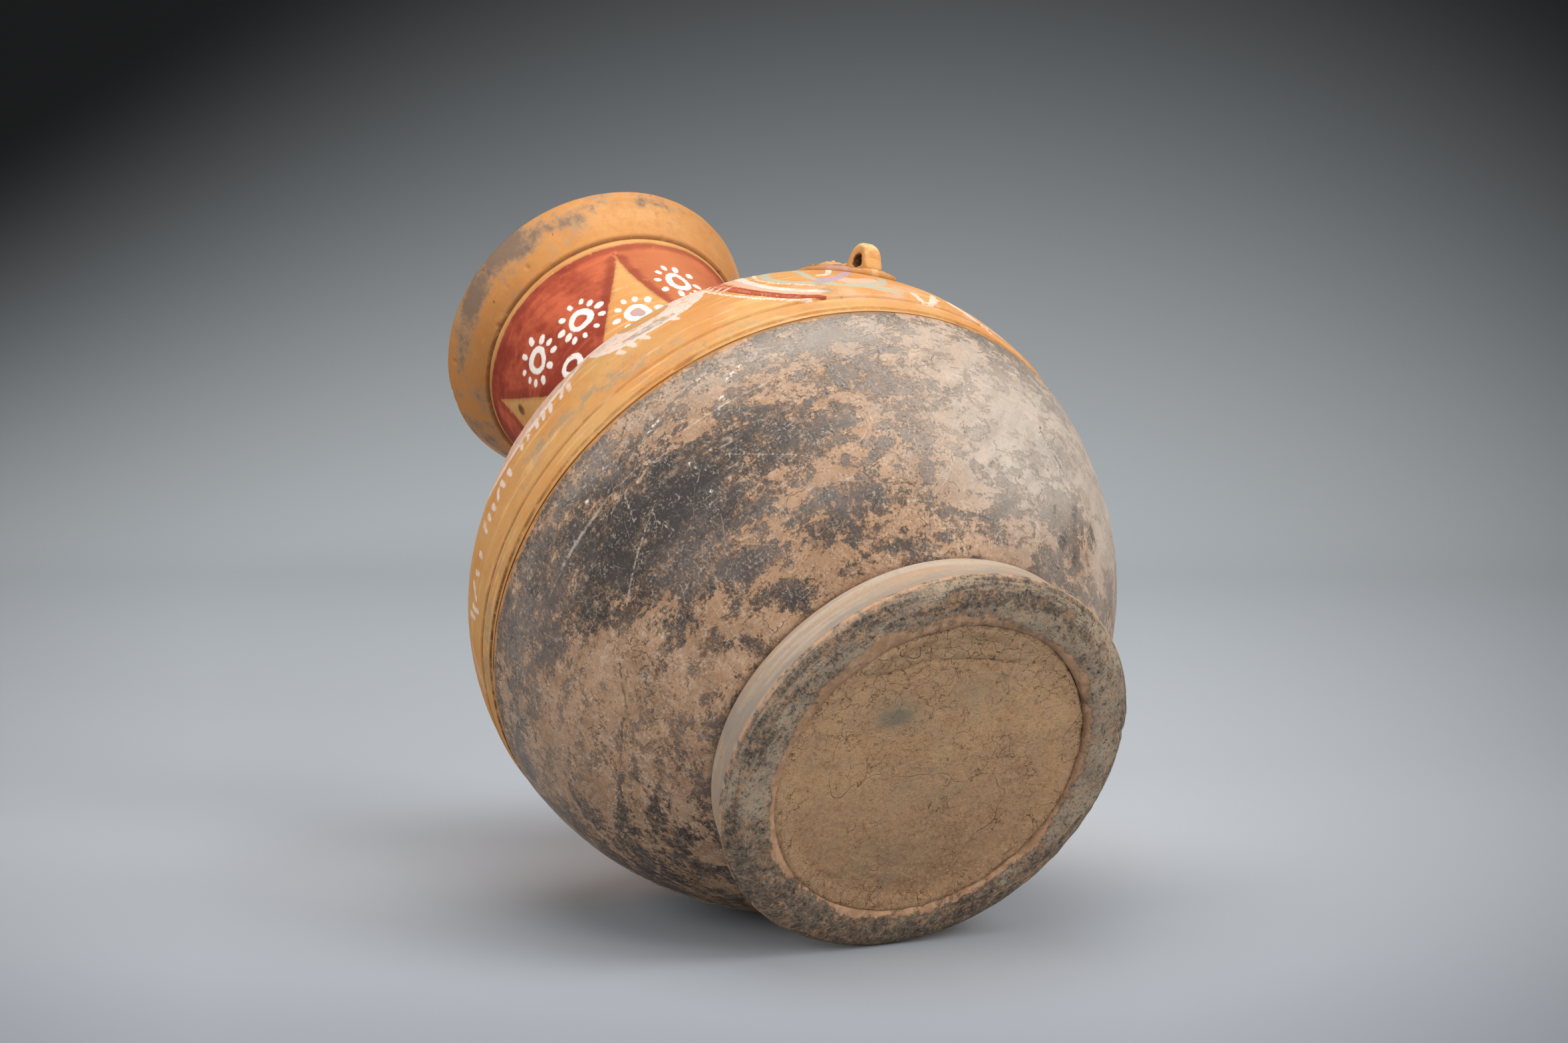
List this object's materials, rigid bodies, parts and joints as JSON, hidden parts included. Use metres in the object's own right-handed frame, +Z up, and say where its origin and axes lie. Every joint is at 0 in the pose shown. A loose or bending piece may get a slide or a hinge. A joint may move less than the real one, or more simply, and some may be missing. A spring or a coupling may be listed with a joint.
{
  "type": "painted hu vase",
  "caption": "Round-bellied earthenware vase on a low foot, with a trumpet neck, a flared collar, mask lugs with pierced loops, a painted shoulder and a burnished dark belly.",
  "frame": {"origin": "centre of the foot's resting ring, on the plane that the vase stands on", "axes": "+Z up the vase's axis to the mouth; +X through the right lug, -X through the left lug"},
  "size_m": [0.2912, 0.2828, 0.3799],
  "materials": {
    "base_earth": "rough tan earthenware slab with soil in its cracks",
    "foot_clay": "smoothed grey-beige earthenware with a darker, speckled underside",
    "burnished_charcoal": "burnished dark grey earthenware under tan burial soil",
    "ochre_shoulder": "matt ochre paint with white, red and grey brushwork",
    "red_lappet_neck": "matt red lappets on ochre with white rosettes",
    "ochre_collar": "worn ochre paint over grey clay",
    "mask_clay": "moulded clay relief under ochre paint",
    "loop_clay": "hand-smoothed clay under ochre paint"
  },
  "bodies": {
    "root": {"base_disc": "base_earth", "foot_ring": "foot_clay", "lower_body": "burnished_charcoal", "upper_body": "ochre_shoulder", "neck": "red_lappet_neck", "mouth_collar": "ochre_collar", "mask_right": "mask_clay", "mask_left": "mask_clay", "loop_right": "loop_clay", "loop_left": "loop_clay"}
  },
  "joints": []
}
